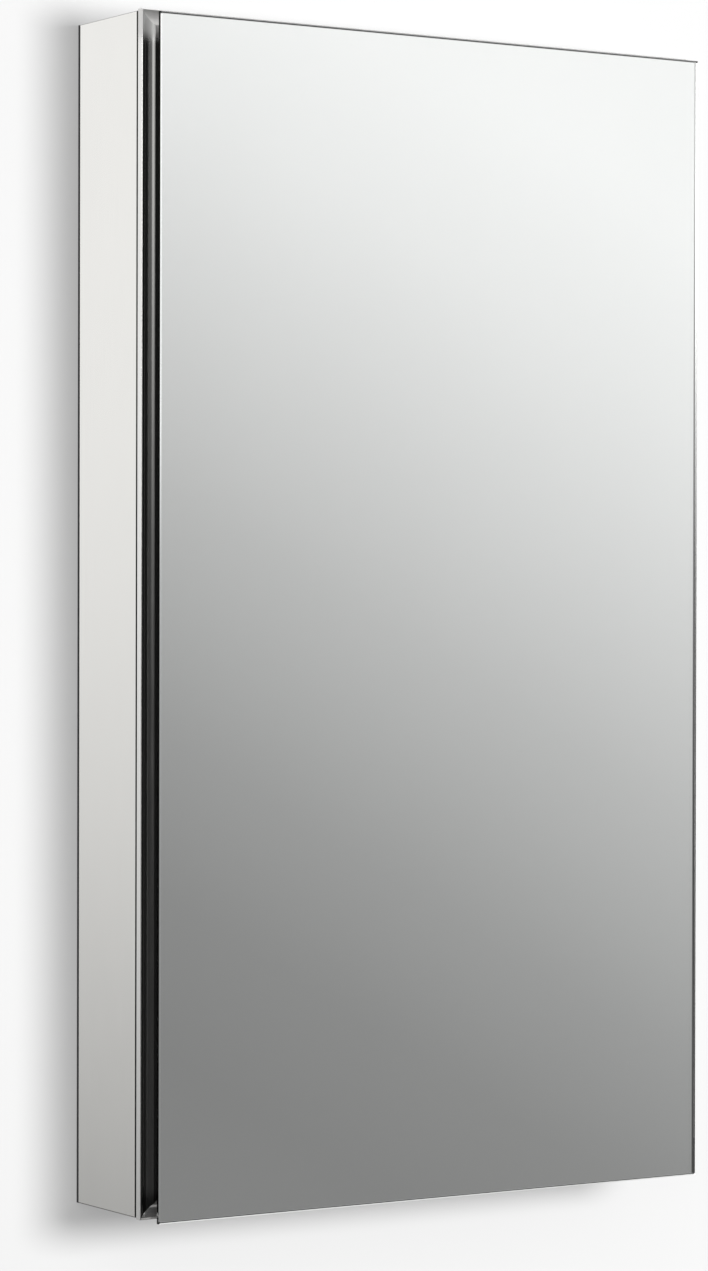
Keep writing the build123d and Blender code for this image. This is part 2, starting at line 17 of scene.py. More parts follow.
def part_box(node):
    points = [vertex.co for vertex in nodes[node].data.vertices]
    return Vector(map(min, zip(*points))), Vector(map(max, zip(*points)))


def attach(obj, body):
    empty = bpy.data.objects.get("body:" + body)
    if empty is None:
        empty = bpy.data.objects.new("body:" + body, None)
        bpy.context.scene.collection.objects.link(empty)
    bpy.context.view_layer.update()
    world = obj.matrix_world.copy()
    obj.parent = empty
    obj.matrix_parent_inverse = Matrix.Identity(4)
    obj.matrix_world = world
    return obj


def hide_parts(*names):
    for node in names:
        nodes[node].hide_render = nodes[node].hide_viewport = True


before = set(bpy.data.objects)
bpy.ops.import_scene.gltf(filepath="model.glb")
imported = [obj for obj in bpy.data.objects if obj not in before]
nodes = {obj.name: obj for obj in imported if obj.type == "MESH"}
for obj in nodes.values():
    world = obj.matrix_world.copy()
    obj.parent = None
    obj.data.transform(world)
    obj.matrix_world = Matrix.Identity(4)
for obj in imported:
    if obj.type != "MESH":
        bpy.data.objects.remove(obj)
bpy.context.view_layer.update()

MM = 0.001
scene = bpy.context.scene
scene.view_settings.view_transform = "Standard"

# %% [markdown]
# ## The camera
#
# A cabinet this tall is looked at from a little over three metres, level with its middle, so that its
# upright edges stay almost parallel. The eye stands 32.5 degrees to the left, where it sees the finger
# pull and the satin side as well as the mirror. The lens is long, because a short one would lean the
# edges in.

# %% Camera
eye_from_centre = Vector((-1745.5, -2734.3, 6.8)) * MM
eye_yaw = math.radians(32.52)
eye_pitch = math.radians(-0.417)
eye_roll = math.radians(0.12)
lens_mm = 113.5

gaze = Vector((
    math.sin(eye_yaw) * math.cos(eye_pitch),
    math.cos(eye_yaw) * math.cos(eye_pitch),
    math.sin(eye_pitch),
))
camera_data = bpy.data.cameras.new("camera")
camera_data.lens = lens_mm
camera_data.clip_end = 50
camera = bpy.data.objects.new("camera", camera_data)
scene.collection.objects.link(camera)
turn = gaze.to_track_quat("-Z", "Y").to_matrix().to_4x4() @ Matrix.Rotation(eye_roll, 4, "Z")
camera.matrix_world = Matrix.Translation(eye_from_centre) @ turn
scene.camera = camera
print("camera", round(eye_from_centre.length, 3), "m from the middle of the cabinet's back")

# %% [markdown]
# ## Small helpers for materials
#
# A procedural finish is a few nodes: a pattern read in the piece's own space, in metres, then a ramp
# for the colour, a range for the roughness and a bump for the relief. These helpers add a node with its
# settings and join two sockets, so that each finish below reads as a short list. Values that are the
# same all over go straight on the shader.

# %% Helpers for materials
def new_material(name):
    """A material with only a Principled shader on its output, and that shader."""
    material = bpy.data.materials.new(name)
    material.use_nodes = True
    shader = material.node_tree.nodes["Principled BSDF"]
    return material, shader


def add(material, kind, inputs=(), **settings):
    """A node of this kind in the material, with its settings and its unlinked inputs."""
    node = material.node_tree.nodes.new(kind)
    for key, value in settings.items():
        setattr(node, key, value)
    for key, value in dict(inputs).items():
        node.inputs[key].default_value = value
    return node


def join(material, out_socket, in_socket):
    material.node_tree.links.new(out_socket, in_socket)


NOISE_ROUGHNESS = 0.55


def object_pattern(material, stretch, scale, detail=4.0):
    """Noise in the piece's own space.

    stretch squeezes it along each axis, so a grain runs along the axis where stretch is low.
    """
    place = add(material, "ShaderNodeTexCoord")
    mapping = add(material, "ShaderNodeMapping", {"Scale": stretch})
    noise = add(material, "ShaderNodeTexNoise",
                {"Scale": scale, "Detail": detail, "Roughness": NOISE_ROUGHNESS})
    join(material, place.outputs["Object"], mapping.inputs["Vector"])
    join(material, mapping.outputs["Vector"], noise.inputs["Vector"])
    return noise.outputs["Fac"]


NOISE_LOW = 0.3
NOISE_HIGH = 0.7


def between(material, factor, low, high):
    """The useful middle of a noise, from NOISE_LOW to NOISE_HIGH, stretched from low to high."""
    span = add(material, "ShaderNodeMapRange",
               {"From Min": NOISE_LOW, "From Max": NOISE_HIGH, "To Min": low, "To Max": high})
    join(material, factor, span.inputs["Value"])
    return span.outputs["Result"]


def tinted(material, factor, dark, light):
    """Two colours, mixed by the factor."""
    ramp = add(material, "ShaderNodeValToRGB")
    ramp.color_ramp.elements[0].position = NOISE_LOW
    ramp.color_ramp.elements[0].color = (*dark, 1)
    ramp.color_ramp.elements[1].position = NOISE_HIGH
    ramp.color_ramp.elements[1].color = (*light, 1)
    join(material, factor, ramp.inputs["Fac"])
    return ramp.outputs["Color"]


def relief(material, shader, factor, depth_mm):
    """A bump of that depth on the shader."""
    bump = add(material, "ShaderNodeBump", {"Strength": 1.0, "Distance": depth_mm * MM})
    join(material, factor, bump.inputs["Height"])
    join(material, bump.outputs["Normal"], shader.inputs["Normal"])


def soft_step(material, value, low, high):
    """0 below low, 1 above high, smooth between."""
    step = add(material, "ShaderNodeMapRange", {"From Min": low, "From Max": high},
               interpolation_type="SMOOTHSTEP")
    join(material, value, step.inputs["Value"])
    return step.outputs["Result"]


def mixed(material, factor, first, second, data_type="RGBA"):
    """first where the factor is 0, second where it is 1. Either may be a socket or a plain value."""
    mix = add(material, "ShaderNodeMix", data_type=data_type)
    slots = (6, 7) if data_type == "RGBA" else (2, 3)
    for slot, source in zip(slots, (first, second)):
        if isinstance(source, bpy.types.NodeSocket):
            join(material, source, mix.inputs[slot])
        else:
            mix.inputs[slot].default_value = (*source, 1) if data_type == "RGBA" else source
    join(material, factor, mix.inputs[0])
    return mix.outputs[slots[0] - 4 if data_type == "RGBA" else 0]


print("material helpers ready")

# %% [markdown]
# ## Grained metals
#
# Anodised sheet, bright extrusion and brushed steel differ in three things: how light the metal is, how
# rough it is, and which way its grain runs. Rolling and extruding leave fine lines along the length, so
# the noise is squeezed hard across the grain and hardly at all along it. One function makes them all,
# and the grain moves the colour, the roughness and the bump together, as it does on metal.

# %% Grained metals
ALONG_X = (0.02, 1.0, 1.0)
ALONG_Z = (1.0, 1.0, 0.02)
NO_GRAIN = (1.0, 1.0, 1.0)
# Painted shade: a near-black grey that stands for the shade in a gap.
PAINTED_SHADE_GREY = (0.05, 0.05, 0.049)
GRAIN_SHADE = 0.06  # how much darker the grain's lines are
GRAIN_SPREAD = 0.05  # how much rougher they are
PATCHES_PER_M = 9.0


def grained_metal(name, colour, roughness, grain, grain_per_m=900.0, depth_mm=0.004, painted_shade_between=None,
                  metallic=1.0):
    """A metal with a grain, over broad and very faint patches.

    painted_shade_between is a range of y, in metres, over which the metal turns to a near-black grey, painted
    shade for a gap. A matt anodised sheet scatters part of the light, so its metallic value is below 1.
    """
    material, shader = new_material(name)
    fine = object_pattern(material, grain, grain_per_m)
    broad = object_pattern(material, NO_GRAIN, PATCHES_PER_M, detail=2.0)
    both = add(material, "ShaderNodeMath", operation="ADD", use_clamp=True)
    halves = [add(material, "ShaderNodeMath", {1: 0.5}, operation="MULTIPLY") for _ in range(2)]
    for half, source in zip(halves, (fine, broad)):
        join(material, source, half.inputs[0])
    join(material, halves[0].outputs[0], both.inputs[0])
    join(material, halves[1].outputs[0], both.inputs[1])
    dark = tuple(channel * (1 - GRAIN_SHADE) for channel in colour)
    surface = tinted(material, both.outputs[0], dark, colour)
    # Painted shade: over the given range of y the metal's colour turns to that near-black grey.
    if painted_shade_between:
        split = add(material, "ShaderNodeSeparateXYZ")
        join(material, add(material, "ShaderNodeTexCoord").outputs["Object"], split.inputs["Vector"])
        cut = soft_step(material, split.outputs["Y"], *sorted(painted_shade_between))
        first, second = (surface, PAINTED_SHADE_GREY) if painted_shade_between[1] > painted_shade_between[0] else (PAINTED_SHADE_GREY, surface)
        surface = mixed(material, cut, first, second)
    join(material, surface, shader.inputs["Base Color"])
    polish = between(material, both.outputs[0], roughness, roughness + GRAIN_SPREAD)
    join(material, polish, shader.inputs["Roughness"])
    relief(material, shader, fine, depth_mm)
    shader.inputs["Metallic"].default_value = metallic
    return material


# Painted shade: the skin's front edge, in front of y = -91.75 mm, turns near-black for the shade in the
# groove between the skin and the front frame.
skin_metal = grained_metal("satin_skin_metal", (0.93, 0.923, 0.895), 0.20, ALONG_Z, depth_mm=0.002,
                           painted_shade_between=(-91.55 * MM, -91.75 * MM))
# Painted shade: the side wall turns near-black within 2.8 mm of the wall, for the shade in the gap behind the
# skin.
side_wall_metal = grained_metal("side_wall_metal", (0.80, 0.80, 0.79), 0.34, ALONG_Z,
                                painted_shade_between=(-3.2 * MM, -2.8 * MM), metallic=0.6)
wall_metal = grained_metal("satin_wall_metal", (0.80, 0.80, 0.79), 0.34, ALONG_Z, metallic=0.6)
end_wall_metal = grained_metal("satin_end_wall_metal", (0.80, 0.80, 0.79), 0.34, ALONG_X, metallic=0.6)
door_stile_metal = grained_metal("door_stile_metal", (0.76, 0.76, 0.75), 0.30, ALONG_Z, metallic=0.8)
door_rail_metal = grained_metal("door_rail_metal", (0.76, 0.76, 0.75), 0.30, ALONG_X, metallic=0.8)
hinge_metal = grained_metal("brushed_hinge_steel", (0.66, 0.655, 0.64), 0.24, ALONG_Z, depth_mm=0.006)
zinc_metal = grained_metal("zinc_plate", (0.70, 0.71, 0.74), 0.28, NO_GRAIN, grain_per_m=1500.0)
rivet_metal = grained_metal("rivet_aluminium", (0.78, 0.78, 0.77), 0.38, NO_GRAIN, grain_per_m=1500.0)
print("made nine grained metals")

# %% [markdown]
# ## Silver, glass, paint and plastics
#
# A mirror is a sheet of glass with silver behind it and paint behind the silver. It could be faked with
# one shiny face, but real glass draws its own edges: a dark line where one looks into the far edge, and
# a light one where the ground arris bends the view. So the glass here is real glass, clear right
# through, and the silver is a thin sheet behind it. The faint cloud in the silver is the unevenness
# that float glass has.

# %% Silver, glass and paint
def silver():
    material, shader = new_material("silver")
    cloud = object_pattern(material, NO_GRAIN, 6.0, detail=1.0)
    colour = tinted(material, cloud, (0.945, 0.95, 0.945), (0.955, 0.96, 0.955))
    join(material, colour, shader.inputs["Base Color"])
    join(material, between(material, cloud, 0.0, 0.006), shader.inputs["Roughness"])
    shader.inputs["Metallic"].default_value = 1.0
    return material


def clear_glass(name, tint, haze_low, haze_high, haze_per_m):
    """Clear glass. The haze is what polishing leaves: next to nothing on a face, more on an edge."""
    material, shader = new_material(name)
    haze = object_pattern(material, NO_GRAIN, haze_per_m, detail=2.0)
    join(material, between(material, haze, haze_low, haze_high), shader.inputs["Roughness"])
    shader.inputs["Base Color"].default_value = (*tint, 1)
    shader.inputs["Transmission Weight"].default_value = 1.0
    shader.inputs["IOR"].default_value = 1.52
    return material


def backing_paint():
    material, shader = new_material("mirror_backing_paint")
    flow = object_pattern(material, NO_GRAIN, 60.0)
    colour = tinted(material, flow, (0.030, 0.031, 0.033), (0.042, 0.043, 0.045))
    join(material, colour, shader.inputs["Base Color"])
    join(material, between(material, flow, 0.35, 0.48), shader.inputs["Roughness"])
    relief(material, shader, flow, 0.02)
    return material


def moulded_plastic(name, dark, light, roughness, see_through=0.0):
    material, shader = new_material(name)
    grain = object_pattern(material, NO_GRAIN, 1800.0)
    join(material, tinted(material, grain, dark, light), shader.inputs["Base Color"])
    join(material, between(material, grain, roughness, roughness + 0.12), shader.inputs["Roughness"])
    relief(material, shader, grain, 0.01)
    shader.inputs["Transmission Weight"].default_value = see_through
    return material


mirror_silver = silver()
pane_face = clear_glass("pane_face", (0.995, 1.0, 0.997), 0.0, 0.002, 5.0)
pane_edge = clear_glass("pane_edge", (0.80, 0.93, 0.88), 0.03, 0.10, 900.0)
shelf_glass = clear_glass("shelf_glass", (0.93, 0.985, 0.965), 0.0, 0.015, 30.0)
mirror_paint = backing_paint()
clip_plastic = moulded_plastic("frosted_clip_plastic", (0.62, 0.64, 0.64), (0.70, 0.72, 0.72), 0.25,
                               see_through=0.5)
catch_plastic = moulded_plastic("catch_plastic", (0.56, 0.56, 0.54), (0.62, 0.62, 0.60), 0.40)
tape_foam = moulded_plastic("foam_tape", (0.016, 0.016, 0.017), (0.030, 0.030, 0.031), 0.75)
magnet_ferrite = moulded_plastic("magnet_ferrite", (0.040, 0.040, 0.043), (0.075, 0.075, 0.080), 0.50)
print("made silver, three glasses, paint and four plastics")

# %% [markdown]
# ## The front frame: a bright lip, painted shade and a painted light
#
# The front frame is one extrusion with three looks. Its outer lip is bright. The concave pull inside
# the lip is painted dark, a painted shade for the recess, darker still at its foot, and runs out into a
# lighter grey across the top, a painted light for light falling in from above. Its soft streak of light
# is a real reflection. The groove behind the lip is painted near-black, a painted shadow in the gap. All
# three lie on one mesh, so the colour is chosen by place: how far in from the outer face, how deep, and
# how high. Each choice is a range of the piece's own coordinates, softened a little.

# %% Front frame finish
LIP_METAL = (0.90, 0.895, 0.88)
# Painted light: a lighter grey across the top of the pull, for light falling in from above.
TOP_PAINTED_LIGHT = (0.64, 0.64, 0.63)
# Painted shade: the pull's dark base colour stands for the shade in the recess; the streak on it is a real
# reflection.
PULL_PAINTED_SHADE = (0.175, 0.174, 0.169)
# Painted shade: darker still at the pull's foot, where less light falls.
FOOT_PAINTED_SHADE = (0.05, 0.05, 0.048)
# Painted shade: the groove behind the lip is painted near-black for the shade in the gap.
GROOVE_PAINTED_SHADE = (0.08, 0.08, 0.078)
lip_inner = 256.35 * MM
groove_front = 95.0 * MM
painted_light_start = 429.0 * MM
painted_light_end = 443.0 * MM
foot_shade_start = -432.0 * MM
foot_shade_end = -444.0 * MM
soft_edge = 0.05 * MM
STREAKS_PER_M = 1100.0
PULL_METALLIC = 0.88
TOP_METALLIC = 0.25


def frame_finish(name, grain, across):
    """across is the axis, X or Z, from the member's outer face inwards."""
    material, shader = new_material(name)
    place = add(material, "ShaderNodeTexCoord")
    split = add(material, "ShaderNodeSeparateXYZ")
    join(material, place.outputs["Object"], split.inputs["Vector"])
    far_out = add(material, "ShaderNodeMath", operation="ABSOLUTE")
    join(material, split.outputs[across], far_out.inputs[0])
    on_lip = soft_step(material, far_out.outputs[0], lip_inner - soft_edge, lip_inner + soft_edge)
    # Painted light: the mask for the lighter grey across the top.
    in_painted_light = soft_step(material, split.outputs["Z"], painted_light_start, painted_light_end)
    # Painted shade: the mask for the groove's near-black.
    in_groove = soft_step(material, split.outputs["Y"], -groove_front - soft_edge, -groove_front + soft_edge)
    # Painted shade: the mask for the darker foot.
    above_foot_shade = soft_step(material, split.outputs["Z"], foot_shade_end, foot_shade_start)
    # Painted shade over the pull, deeper at its foot, with a painted light across its top.
    pull = mixed(material, in_painted_light, mixed(material, above_foot_shade, FOOT_PAINTED_SHADE, PULL_PAINTED_SHADE), TOP_PAINTED_LIGHT)
    plain = mixed(material, in_groove, mixed(material, on_lip, pull, LIP_METAL), GROOVE_PAINTED_SHADE)
    streak = object_pattern(material, grain, STREAKS_PER_M)
    shade = add(material, "ShaderNodeMix", data_type="RGBA", blend_type="MULTIPLY")
    shade.inputs[0].default_value = 1.0
    join(material, plain, shade.inputs[6])
    join(material, tinted(material, streak, (0.93, 0.93, 0.93), (1, 1, 1)), shade.inputs[7])
    join(material, shade.outputs[2], shader.inputs["Base Color"])
    pull_polish = between(material, streak, 0.14, 0.18)
    top_polish = between(material, streak, 0.40, 0.46)
    polish = mixed(material, in_painted_light, pull_polish, top_polish, data_type="FLOAT")
    join(material, polish, shader.inputs["Roughness"])
    metallic = mixed(material, in_painted_light, PULL_METALLIC, TOP_METALLIC, data_type="FLOAT")
    join(material, metallic, shader.inputs["Metallic"])
    relief(material, shader, streak, 0.001)
    return material


stile_metal = frame_finish("front_stile_metal", ALONG_Z, "X")
rail_metal = frame_finish("front_rail_metal", ALONG_X, "Z")
# In this print the satin top is the painted light across the pull's top; the pull, foot and groove carry
# painted shade.
print("front frame: lip, pull, foot, satin top and groove in one finish for each direction")

# %% [markdown]
# ## A finish for every CAD node
#
# Every CAD piece takes one finish, chosen by what it is made of on a real cabinet. The table goes from
# finish to pieces, because a maker orders by finish too.

# %% Finish the CAD nodes
FINISHES = {
    skin_metal: ["side_skin_left", "side_skin_right"],
    side_wall_metal: ["side_wall_left", "side_wall_right"],
    wall_metal: ["back_panel"],
    end_wall_metal: ["top_wall", "bottom_wall"],
    stile_metal: ["front_stile_left", "front_stile_right"],
    rail_metal: ["front_rail_top", "front_rail_bottom"],
    door_stile_metal: ["door_stile_left", "door_stile_right",
                       "shelf_standard_left_rear", "shelf_standard_left_front",
                       "shelf_standard_right_rear", "shelf_standard_right_front"],
    door_rail_metal: ["door_rail_top", "door_rail_bottom"],
    hinge_metal: ["hinge_leaf_cabinet", "hinge_leaf_door", "hinge_pin"],
    zinc_metal: ["frame_corner_keys", "door_corner_keys", "back_mirror_clips", "strike_plates",
                 "back_mirror_screws", "standard_screws", "catch_screws", "strike_screws",
                 "hinge_screws_cabinet", "hinge_screws_door"],
    rivet_metal: ["back_rivets", "frame_rivets"],
    pane_face: ["back_mirror", "door_inside_mirror", "door_mirror"],
    shelf_glass: ["glass_shelf_1", "glass_shelf_2", "glass_shelf_3"],
    clip_plastic: ["shelf_clips_1", "shelf_clips_2", "shelf_clips_3"],
    catch_plastic: ["catch_housing_top", "catch_housing_bottom"],
    tape_foam: ["back_mirror_tape", "mirror_bond_tape"],
    magnet_ferrite: ["catch_magnets"],
}
for finish, names in FINISHES.items():
    for name in names:
        nodes[name].data.materials.clear()
        nodes[name].data.materials.append(finish)
unfinished = set(nodes) - {name for names in FINISHES.values() for name in names}
print("finished", len(nodes) - len(unfinished), "nodes; left:", sorted(unfinished))

# %% [markdown]
# ## Modelling helpers
#
# A new piece starts as a primitive at its size and place, and is shaped in edit mode. Everything is
# deselected first, because an operator acts on all that is selected. Its place is then applied to its
# mesh, so the piece's own space is the cabinet's space.

# %% Modelling helpers
def start_block(name, low, high):
    """A box between two corners, active and in object mode, with its size and place in its mesh."""
    bpy.ops.object.select_all(action="DESELECT")
    bpy.ops.mesh.primitive_cube_add(size=1, location=(low + high) / 2)
    piece = bpy.context.object
    piece.name = name
    piece.scale = high - low
    bpy.ops.object.transform_apply(location=True, rotation=True, scale=True)
    return piece


def select_faces(piece, wanted):
    """In edit mode, selects the faces that wanted(centre, normal) accepts."""
    bpy.ops.mesh.select_all(action="DESELECT")
    bpy.ops.mesh.select_mode(type="FACE")
    shape = bmesh.from_edit_mesh(piece.data)
    for face in shape.faces:
        if wanted(face.calc_center_median(), face.normal):
            face.select_set(True)
    bmesh.update_edit_mesh(piece.data)


def paint_faces(piece, index, wanted):
    """In object mode, gives the faces that wanted(centre, normal) accepts the material in that slot."""
    for face in piece.data.polygons:
        if wanted(face.center, face.normal):
            face.material_index = index


print("modelling helpers ready")

# %% [markdown]
# ## The three mirrors
#
# Each mirror is two pieces: the glass, and the silver with its paint. The glass starts as a box.
# Bevelling the four edges of a face with one segment leaves the flat arris that a grinder leaves, and a
# very fine second bevel takes the sharpness off that flat, so that it catches a line of light. The
# silver is a sheet a twentieth of a millimetre thick, a hair behind the glass: its front is metal, its
# back and rim are paint. A function makes both, because the back mirror and the one inside the door
# differ only in size and in the way they face.

# %% Mirrors
silver_sheet = 0.05 * MM
silver_gap = 0.02 * MM
rear_arris = 0.4 * MM
dubbing = 0.08 * MM


def bevel_around(piece, wanted, width, segments):
    """Bevels the edges of the faces that wanted accepts."""
    select_faces(piece, wanted)
    bpy.ops.mesh.bevel(offset=width, offset_type="OFFSET", segments=segments, affect="EDGES")


def mirror(node, body, facing, front_arris):
    """The glass and the silver that stand for a CAD mirror. facing is -1 for a mirror that faces -Y."""
    low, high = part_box(node)
    back = high.y if facing < 0 else low.y
    silver_front = back + facing * silver_sheet
    glass_back = silver_front + facing * silver_gap
    front = low.y if facing < 0 else high.y

    glass = start_block(node + "_glass", Vector((low.x, min(front, glass_back), low.z)),
                        Vector((high.x, max(front, glass_back), high.z)))
    bpy.ops.object.mode_set(mode="EDIT")
    bevel_around(glass, lambda centre, normal: normal.y * facing > 0.5, front_arris, 1)
    bevel_around(glass, lambda centre, normal: normal.y * facing < -0.5, rear_arris, 1)
    bevel_around(glass, lambda centre, normal: normal.y * facing > 0.9, dubbing, 2)
    bpy.ops.object.mode_set(mode="OBJECT")
    glass.data.materials.append(pane_face)
    glass.data.materials.append(pane_edge)
    paint_faces(glass, 1, lambda centre, normal: abs(normal.y) < 0.5)

    rim = Vector((rear_arris, 0, rear_arris))
    coat = start_block(node + "_silver", Vector((low.x, min(back, silver_front), low.z)) + rim,
                       Vector((high.x, max(back, silver_front), high.z)) - rim)
    coat.data.materials.append(mirror_paint)
    coat.data.materials.append(mirror_silver)
    paint_faces(coat, 1, lambda centre, normal: normal.y * facing > 0.5)

    for piece in (glass, coat):
        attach(piece, body)
    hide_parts(node)
    print(node, "glass", [round(side, 4) for side in glass.dimensions], "faces", len(glass.data.polygons))


mirror("door_mirror", "door", facing=-1, front_arris=0.8 * MM)
mirror("door_inside_mirror", "door", facing=1, front_arris=0.5 * MM)
mirror("back_mirror", "cabinet", facing=-1, front_arris=0.5 * MM)

# %% [markdown]
# ## The dark strips behind the side skins
#
# Each side skin stops short of the wall, and a strip in the dark foam finish fills the gap behind it.
# The strip is painted shade: it stands for the shade in that gap and draws the thin dark line down the
# cabinet's edge. The strip stands on the side wall, a hair inside the skin's outer face.

# %% Skin shade strips
shade_strip_inset = 0.1 * MM
for side in ("left", "right"):
    skin_low, skin_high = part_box("side_skin_" + side)
    body_low, body_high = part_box("side_wall_" + side)
    if side == "left":
        across = (skin_low.x + shade_strip_inset, body_low.x)
    else:
        across = (body_high.x, skin_high.x - shade_strip_inset)
    shade_strip_low = Vector((across[0], skin_high.y, skin_low.z + shade_strip_inset))
    shade_strip_high = Vector((across[1], 0.0, skin_high.z - shade_strip_inset))
    # Painted shade: a dark strip standing for the shade in the gap between the skin and the wall.
    shade_strip = start_block("side_skin_" + side + "_painted_shade_strip", shade_strip_low, shade_strip_high)
    shade_strip.data.materials.append(tape_foam)
    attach(shade_strip, "cabinet")
    print(shade_strip.name, [round(length, 4) for length in shade_strip.dimensions])

# %% [markdown]
# ## Where the screws are
#
# Each CAD node of screws is a group of separate solids. To put a detailed screw in each place, the
# group's mesh is copied, its loose triangles are merged and the copy is separated into its solids.
# Their boxes say where each screw is, and the copies are then deleted.

# %% Find the screws
def solid_boxes(node):
    """The lowest and highest corner of each separate solid in a CAD node."""
    bpy.ops.object.select_all(action="DESELECT")
    group = bpy.data.objects.new("measuring", nodes[node].data.copy())
    scene.collection.objects.link(group)
    group.select_set(True)
    bpy.context.view_layer.objects.active = group
    bpy.ops.object.mode_set(mode="EDIT")
    bpy.ops.mesh.select_all(action="SELECT")
    bpy.ops.mesh.remove_doubles(threshold=0.001 * MM)
    bpy.ops.mesh.separate(type="LOOSE")
    bpy.ops.object.mode_set(mode="OBJECT")
    boxes = []
    for solid in bpy.context.selected_objects:
        places = [vertex.co for vertex in solid.data.vertices]
        boxes.append((
            Vector(min(place[axis] for place in places) for axis in range(3)),
            Vector(max(place[axis] for place in places) for axis in range(3)),
        ))
    bpy.ops.object.delete()
    return sorted(boxes, key=lambda box: tuple(round(side, 5) for side in box[0]))


print("back mirror's screws:", len(solid_boxes("back_mirror_screws")))

# %% [markdown]
# ## One cross-head screw
#
# A screw's head is a cone frustum with a rounded rim and a cross recess. The recess is cut with two
# Boolean modifiers, one for each arm, because the cut gives crisp walls that catch the light, where a
# bump would give a painted cross. The shank is a plain cylinder with a chamfered tip.

# %% Model a screw
shank_radius = 1.5 * MM
tip_chamfer = 0.3 * MM


def cut_recess_arm(head, half_length, half_width, depth):
    arm = start_block("recess_arm", Vector((-half_length, -half_width, -depth)),
                      Vector((half_length, half_width, depth)))
    cut = head.modifiers.new("recess", "BOOLEAN")
    cut.operation = "DIFFERENCE"
    cut.solver = "EXACT"
    cut.object = arm
    bpy.context.view_layer.objects.active = head
    bpy.ops.object.modifier_apply(modifier=cut.name)
    bpy.data.objects.remove(arm)


def screw(length, head_height, seat_radius, top_radius, rounding):
    """A screw along Z with the top of its head at the origin and its tip below."""
    bpy.ops.object.select_all(action="DESELECT")
    bpy.ops.mesh.primitive_cylinder_add(vertices=20, radius=shank_radius, depth=length - head_height,
                                        location=(0, 0, -(length + head_height) / 2))
    shank = bpy.context.object
    bpy.ops.object.transform_apply(location=True, rotation=True, scale=True)
    bpy.ops.object.mode_set(mode="EDIT")
    bevel_around(shank, lambda centre, normal: normal.z < -0.9, tip_chamfer, 1)
    bpy.ops.object.mode_set(mode="OBJECT")

    bpy.ops.object.select_all(action="DESELECT")
    bpy.ops.mesh.primitive_cone_add(vertices=32, radius1=seat_radius, radius2=top_radius, depth=head_height,
                                    location=(0, 0, -head_height / 2))
    head = bpy.context.object
    bpy.ops.object.transform_apply(location=True, rotation=True, scale=True)
    bpy.ops.object.mode_set(mode="EDIT")
    bevel_around(head, lambda centre, normal: normal.z > 0.9, rounding, 3)
    bpy.ops.object.mode_set(mode="OBJECT")
    half_length, half_width, depth = 0.62 * top_radius, 0.16 * top_radius, 0.45 * head_height
    cut_recess_arm(head, half_length, half_width, depth)
    cut_recess_arm(head, half_width, half_length, depth)

    shank.select_set(True)
    head.select_set(True)
    bpy.context.view_layer.objects.active = head
    bpy.ops.object.join()
    return head


def drive_screws(node, body, towards, head_height, seat_radius, top_radius, rounding):
    """Puts a cross-head screw in the place of each solid of a CAD node.

    towards gives the way the head faces at a place.
    """
    boxes = solid_boxes(node)
    copies = []
    for low, high in boxes:
        centre = (low + high) / 2
        facing = towards(centre)
        length = abs(facing.dot(high - low))
        if not copies:
            model = screw(length, head_height, seat_radius, top_radius, rounding)
        copy = bpy.data.objects.new(node + "_copy", model.data.copy())
        scene.collection.objects.link(copy)
        turn = facing.to_track_quat("Z", "Y").to_matrix().to_4x4()
        copy.data.transform(Matrix.Translation(centre + facing * length / 2) @ turn)
        copies.append(copy)
    bpy.data.objects.remove(model)
    bpy.ops.object.select_all(action="DESELECT")
    for copy in copies:
        copy.select_set(True)
    bpy.context.view_layer.objects.active = copies[0]
    bpy.ops.object.join()
    group = bpy.context.object
    group.name = node.replace("_screws", "_cross_screws")
    bpy.ops.object.shade_smooth_by_angle(angle=math.radians(35))
    group.data.materials.clear()
    group.data.materials.append(zinc_metal)
    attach(group, body)
    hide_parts(node)
    print(group.name, len(boxes), "screws", len(group.data.polygons), "faces")


def inwards(centre):
    return Vector((1, 0, 0)) if centre.x < 0 else Vector((-1, 0, 0))


pan = dict(head_height=1.4 * MM, seat_radius=2.9 * MM, top_radius=1.9 * MM, rounding=0.35 * MM)
thin = dict(head_height=0.8 * MM, seat_radius=2.9 * MM, top_radius=2.2 * MM, rounding=0.2 * MM)
drive_screws("back_mirror_screws", "cabinet", lambda centre: Vector((0, -1, 0)), **pan)
drive_screws("standard_screws", "cabinet", inwards, **pan)
drive_screws("catch_screws", "cabinet", inwards, **pan)
drive_screws("hinge_screws_cabinet", "cabinet", inwards, **thin)
drive_screws("strike_screws", "door", lambda centre: Vector((0, 1, 0)), head_height=1.4 * MM,
             seat_radius=1.5 * MM, top_radius=2.8 * MM, rounding=0.08 * MM)

# %% [markdown]
# ## The stage
#
# The cabinet hangs on a plain pale wall over a plain pale floor. Both are there for the camera alone:
# reflections and the light that the cabinet gets pass through them. Both glow a little, so that they
# stay pale. The wall catches the soft shadow, and from behind it is clear, so that the back of the
# cabinet can be looked at too.

# %% Stage
floor_height = -1.3
stage_reach = 6.0
STAGE_TONE = (0.20, 0.20, 0.20)
WALL_GLOW = 0.33
FLOOR_GLOW = 0.70


def stage_plane(name, location, rotation, material):
    bpy.ops.object.select_all(action="DESELECT")
    bpy.ops.mesh.primitive_plane_add(size=2 * stage_reach, location=location, rotation=rotation)
    plane = bpy.context.object
    plane.name = name
    plane.data.materials.append(material)
    for ray in ("visible_diffuse", "visible_glossy", "visible_transmission", "visible_shadow"):
        setattr(plane, ray, False)
    return plane


